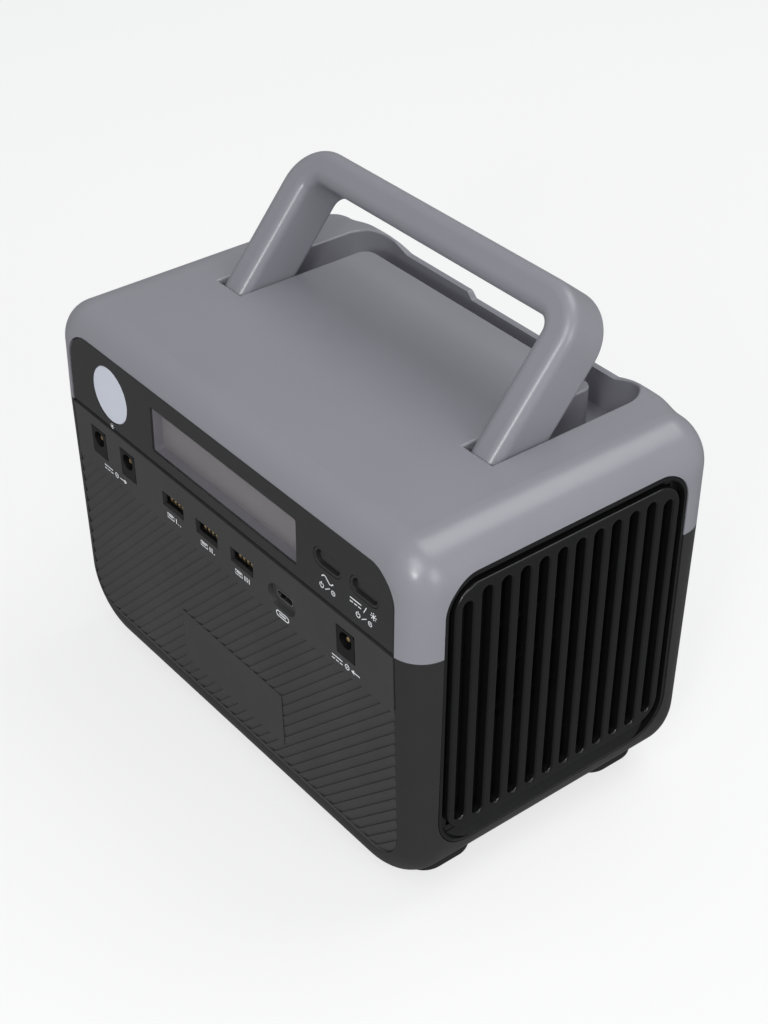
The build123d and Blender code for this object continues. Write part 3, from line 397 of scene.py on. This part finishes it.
def oval_mark():
    """An oval socket's outline round its tongue."""
    ring = arc((2.1, 0), 1.0, -90, 90, 10) + arc((-2.1, 0), 1.0, 90, 270, 10)
    return stroke(ring, OUTLINE, closed=True) + stroke([(-1.7, 0), (1.7, 0)], BOLD)


def switch_marks(x, height):
    """On and off under a button: a power mark, a slash and a small ring."""
    return (shifted(slash_mark(1.2, 0.8, THIN), x, height)
            + shifted(power_mark(), x - 3.0, height - 0.1)
            + shifted(barrel_mark(), x + 3.0, height, 0.85))


def jack_marks(x, line_gap, direction):
    """Under a barrel jack: direct current, the socket at x, and an arrow for out (1) or in (-1)."""
    return (shifted(direct_mark(), x - line_gap, JACK_MARK_HEIGHT)
            + shifted(barrel_mark(), x, JACK_MARK_HEIGHT)
            + shifted(arrow_mark(direction), x + 4.4, JACK_MARK_HEIGHT))


# heights of the rows of marks from the parting line
LAMP_MARK_HEIGHT = 1.6
KEY_MARK_HEIGHT = 9.5           # first row under the buttons
AC_SWITCH_HEIGHT = 6.0          # second row
DC_SWITCH_HEIGHT = 5.6
USB_A_MARK_HEIGHT = -18.7
USB_C_MARK_HEIGHT = -21.7
JACK_MARK_HEIGHT = -20.3

printed("print_lamp", on_fascia, shifted(lamp_mark(), -67.1, LAMP_MARK_HEIGHT, scale=0.8))
printed("print_ac_wave", on_fascia, shifted(wave_mark(), AC_KEY_X, KEY_MARK_HEIGHT))
printed("print_ac_power", on_fascia, switch_marks(AC_KEY_X, AC_SWITCH_HEIGHT))
printed("print_dc_line", on_fascia, shifted(direct_mark(), DC_KEY_X - 4.3, KEY_MARK_HEIGHT))
dc_slash = slash_mark(half_width=0.7, half_height=1.3, width=FINE)
printed("print_dc_slash", on_fascia, shifted(dc_slash, DC_KEY_X + 0.5, KEY_MARK_HEIGHT))
printed("print_dc_lamp", on_fascia, shifted(lamp_mark(), DC_KEY_X + 4.7, KEY_MARK_HEIGHT, scale=1.1))
printed("print_dc_power", on_fascia, switch_marks(DC_KEY_X, DC_SWITCH_HEIGHT))
for index, x in enumerate(USB_A_X):
    printed(f"print_usb_a_{index + 1}", on_panel, shifted(bars_mark(index + 1), x, USB_A_MARK_HEIGHT))
printed("print_usb_c", on_panel, shifted(oval_mark(), USB_C_X, USB_C_MARK_HEIGHT, scale=1.1))
printed("print_dc_output", on_panel, jack_marks(x=-67.6, line_gap=5.4, direction=1))
printed("print_dc_input", on_panel, jack_marks(x=69.6, line_gap=5.2, direction=-1))

# ------------------------------------------------------------------ gilded contacts, mm
TONGUE_TOP = -12.95             # height of the upper side of the type A tongues
CONTACTS = 4                    # in each socket
CONTACT_PITCH = 2.3
CONTACT_WIDTH = 1.2
CONTACT_THICKNESS = 0.14
# (depth behind the panel's face, height above the tongue), from the bent tip to the root
CONTACT_PATH = ((1.95, -0.7), (1.8, 0.3), (2.2, 0.95), (3.2, 1.2), (6.0, 0.3), (9.0, 0.02))


def spring_contact(name, x):
    """Strip of sheet metal, bent along the contacts' path."""
    form = bmesh.new()
    left = x - CONTACT_WIDTH / 2
    right = x + CONTACT_WIDTH / 2
    rows = []
    for depth, height in CONTACT_PATH:
        under = TONGUE_TOP + height
        over = under + CONTACT_THICKNESS
        outline = ((left, under), (right, under), (right, over), (left, over))
        rows.append([form.verts.new(on_panel(side, level, -depth)) for side, level in outline])
    for low, high in zip(rows, rows[1:]):
        band(form, low, high)
    form.faces.new(list(reversed(rows[0])))
    form.faces.new(rows[-1])
    shell_piece(name, form, CONTACT_GOLD)


for index, x in enumerate(USB_A_X):
    for pin in range(CONTACTS):
        offset = (pin - (CONTACTS - 1) / 2) * CONTACT_PITCH
        spring_contact(f"usb_contact_{index + 1}_{pin + 1}", x + offset)

# ------------------------------------------------------------------ camera
CAMERA_PLACE = Vector((0.4461, -0.3547, 0.4947))
CAMERA_AZIMUTH = radians(50.978)    # from the front towards the right side
CAMERA_DROP = radians(35.810)       # how far it looks down
CAMERA_ROLL = radians(0.593)

camera_data = bpy.data.cameras.new("camera")
camera_data.lens = 68.18
camera_data.sensor_width = 36.0
camera = bpy.data.objects.new("camera", camera_data)
camera.matrix_world = (
    Matrix.Translation(CAMERA_PLACE)
    @ Matrix.Rotation(CAMERA_AZIMUTH, 4, "Z")
    @ Matrix.Rotation(pi / 2 - CAMERA_DROP, 4, "X")
    @ Matrix.Rotation(CAMERA_ROLL, 4, "Z")
)
bpy.context.scene.collection.objects.link(camera)
bpy.context.scene.camera = camera

# ------------------------------------------------------------------ floor
FLOOR_SIZE = 8.0
FLOOR_GREY = (0.26, 0.26, 0.26)
FLOOR_GLOW = 0.69               # light of its own, which keeps the floor pale


def pale_floor():
    """Plain square floor that glows a little and isn't seen in reflections."""
    half = FLOOR_SIZE / 2
    corners = [(-half, -half, 0), (half, -half, 0), (half, half, 0), (-half, half, 0)]
    mesh = bpy.data.meshes.new("floor")
    mesh.from_pydata(corners, [], [(0, 1, 2, 3)])
    look = plastic("floor_pale", FLOOR_GREY, 0.9, grain=300, relief=0.01, vary=0.004, specular=0.0,
                   mottle=2)
    shader = look.node_tree.nodes["Principled BSDF"]
    shader.inputs["Emission Color"].default_value = (1, 1, 1, 1)
    shader.inputs["Emission Strength"].default_value = FLOOR_GLOW
    mesh.materials.append(look)
    floor = bpy.data.objects.new("floor", mesh)
    floor.visible_glossy = False
    bpy.context.scene.collection.objects.link(floor)
    return floor


pale_floor()

# ------------------------------------------------------------------ light
BODY_MIDDLE = (0, 0, 0.1)
COVER_MIDDLE = (0, 0, 0.14)
HORIZON_FADE = (-0.5, 0.6)      # upward part of a direction, where the surroundings brighten


def studio_world(low, high, strength):
    """Even surroundings that are dimmer below the horizon than above it."""
    world = bpy.data.worlds.new("studio")
    world.use_nodes = True
    tree = world.node_tree
    axes = tree.nodes.new("ShaderNodeSeparateXYZ")
    tree.links.new(tree.nodes.new("ShaderNodeTexCoord").outputs["Generated"], axes.inputs["Vector"])
    rise = mapped(tree, axes.outputs["Z"], HORIZON_FADE)
    background = tree.nodes["Background"]
    tree.links.new(tinted(tree, rise, low, high), background.inputs["Color"])
    background.inputs["Strength"].default_value = strength
    return world


def softbox(name, place, target, size, power, shape="SQUARE"):
    """Area light aimed at target."""
    data = bpy.data.lights.new(name, "AREA")
    data.shape = shape
    data.size = size
    data.energy = power
    light = bpy.data.objects.new(name, data)
    aim = (Vector(target) - Vector(place)).to_track_quat("-Z", "Y")
    light.matrix_world = Matrix.Translation(place) @ aim.to_matrix().to_4x4()
    bpy.context.scene.collection.objects.link(light)


bpy.context.scene.world = studio_world(low=(0.42, 0.42, 0.43), high=(0.96, 0.98, 1.0), strength=0.44)
softbox("key", place=(0.55, -0.63, 1.06), target=BODY_MIDDLE, size=0.7, power=4.6, shape="DISK")
softbox("top", place=(0.2, 0.9, 1.8), target=BODY_MIDDLE, size=1.2, power=13)
softbox("side", place=(1.5, 0.1, 0.75), target=COVER_MIDDLE, size=0.7, power=5)
softbox("front", place=(0.75, -1.06, 0.78), target=COVER_MIDDLE, size=0.22, power=5, shape="DISK")

bpy.context.scene.view_settings.view_transform = "Standard"
